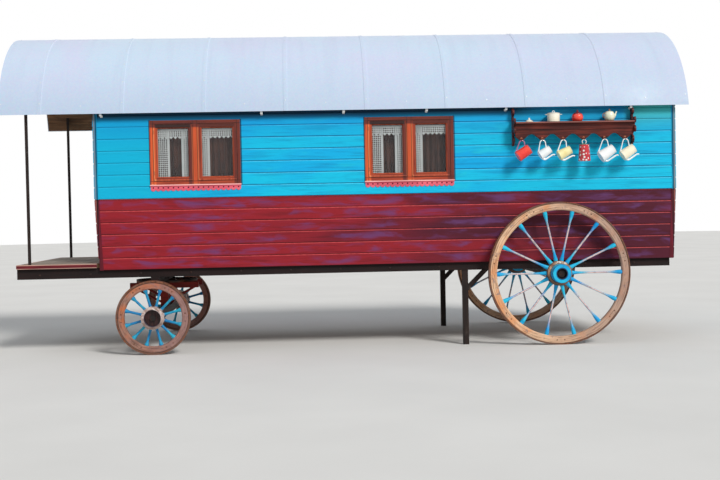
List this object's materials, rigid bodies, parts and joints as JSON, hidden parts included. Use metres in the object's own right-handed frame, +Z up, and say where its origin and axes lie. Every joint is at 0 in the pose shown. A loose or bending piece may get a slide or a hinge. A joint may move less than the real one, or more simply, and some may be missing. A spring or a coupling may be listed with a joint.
{
  "type": "living wagon hut",
  "caption": "Boarded living wagon on spoked wooden wheels, with a barrel roof of metal sheets, an open porch, casement windows and a wall rack of hanging jugs.",
  "frame": {"origin": "on the ground under the middle of the roof", "axes": "+X along the body to the right seen from the rack side, +Y across to the far side, +Z up"},
  "size_m": [8, 3, 3.805],
  "materials": {
    "dark_timber": "dark weathered timber",
    "floor_boards": "plain floor boards",
    "deck_boards": "greyed deck boards",
    "red_boards": "worn dark red paint on boards",
    "blue_boards": "turquoise paint on boards",
    "varnished_wood": "orange-brown varnish",
    "glass": "clear",
    "pink_paint": "pink and red paint",
    "blue_door": "turquoise paint",
    "roof_timber": "plain timber",
    "roof_metal": "pale grey-blue sheet",
    "iron": "dark iron",
    "rusty_iron": "rusted iron tyre",
    "rim_wood": "bare weathered wood",
    "blue_spokes": "turquoise paint, worn",
    "red_timber": "dull red-brown paint",
    "rack_wood": "dark stained wood",
    "enamel": "glossy enamel",
    "lace": "white knotted lace",
    "curtain": "dark brown woven cloth"
  },
  "bodies": {
    "wagon": {"chassis_sills": "dark_timber", "cross_members": "dark_timber", "floor": "floor_boards", "porch_deck": "deck_boards", "front_wall_lower": "red_boards", "front_wall_upper": "blue_boards", "back_wall_lower": "red_boards", "back_wall_upper": "blue_boards", "end_walls_lower": "red_boards", "end_walls_upper": "blue_boards", "lower_corner_boards": "red_boards", "upper_corner_boards": "blue_boards", "window_frames": "varnished_wood", "window_sashes": "varnished_wood", "window_glass": "glass", "window_sills": "pink_paint", "door_frame": "varnished_wood", "door_leaf": "blue_door", "wall_plates": "roof_timber", "roof_bows": "roof_timber", "roof_boards": "roof_timber", "roof_sheets": "roof_metal", "porch_posts": "dark_timber", "rear_axle": "iron", "front_bolster": "dark_timber", "kingpin": "iron", "turntable_upper": "iron", "support_legs": "dark_timber", "wall_rack": "rack_wood", "hanging_jugs": "enamel", "shelf_pots": "enamel"},
    "fore_carriage": {"turntable_lower": "iron", "fore_frame": "red_timber", "front_axle": "iron"},
    "rear_near_wheel": {"rear_near_tyre": "rusty_iron", "rear_near_felloes": "rim_wood", "rear_near_spokes": "blue_spokes"},
    "rear_far_wheel": {"rear_far_tyre": "rusty_iron", "rear_far_felloes": "rim_wood", "rear_far_spokes": "blue_spokes"},
    "front_near_wheel": {"front_near_tyre": "rusty_iron", "front_near_felloes": "rim_wood", "front_near_spokes": "blue_spokes"},
    "front_far_wheel": {"front_far_tyre": "rusty_iron", "front_far_felloes": "rim_wood", "front_far_spokes": "blue_spokes"}
  },
  "joints": [
    {"name": "steering", "type": "hinge", "parent": "wagon", "child": "fore_carriage", "pos_m": [-2.28, 0, 0.78], "axis": [0, 0, 1], "range_deg": [-45, 45]},
    {"name": "rear_near_roll", "type": "hinge", "parent": "wagon", "child": "rear_near_wheel", "pos_m": [2.42, -1.35, 0.83], "axis": [0, 1, 0], "continuous": true},
    {"name": "rear_far_roll", "type": "hinge", "parent": "wagon", "child": "rear_far_wheel", "pos_m": [2.42, 1.35, 0.83], "axis": [0, 1, 0], "continuous": true},
    {"name": "front_near_roll", "type": "hinge", "parent": "fore_carriage", "child": "front_near_wheel", "pos_m": [-2.28, -1.35, 0.425], "axis": [0, 1, 0], "continuous": true},
    {"name": "front_far_roll", "type": "hinge", "parent": "fore_carriage", "child": "front_far_wheel", "pos_m": [-2.28, 1.35, 0.425], "axis": [0, 1, 0], "continuous": true}
  ]
}
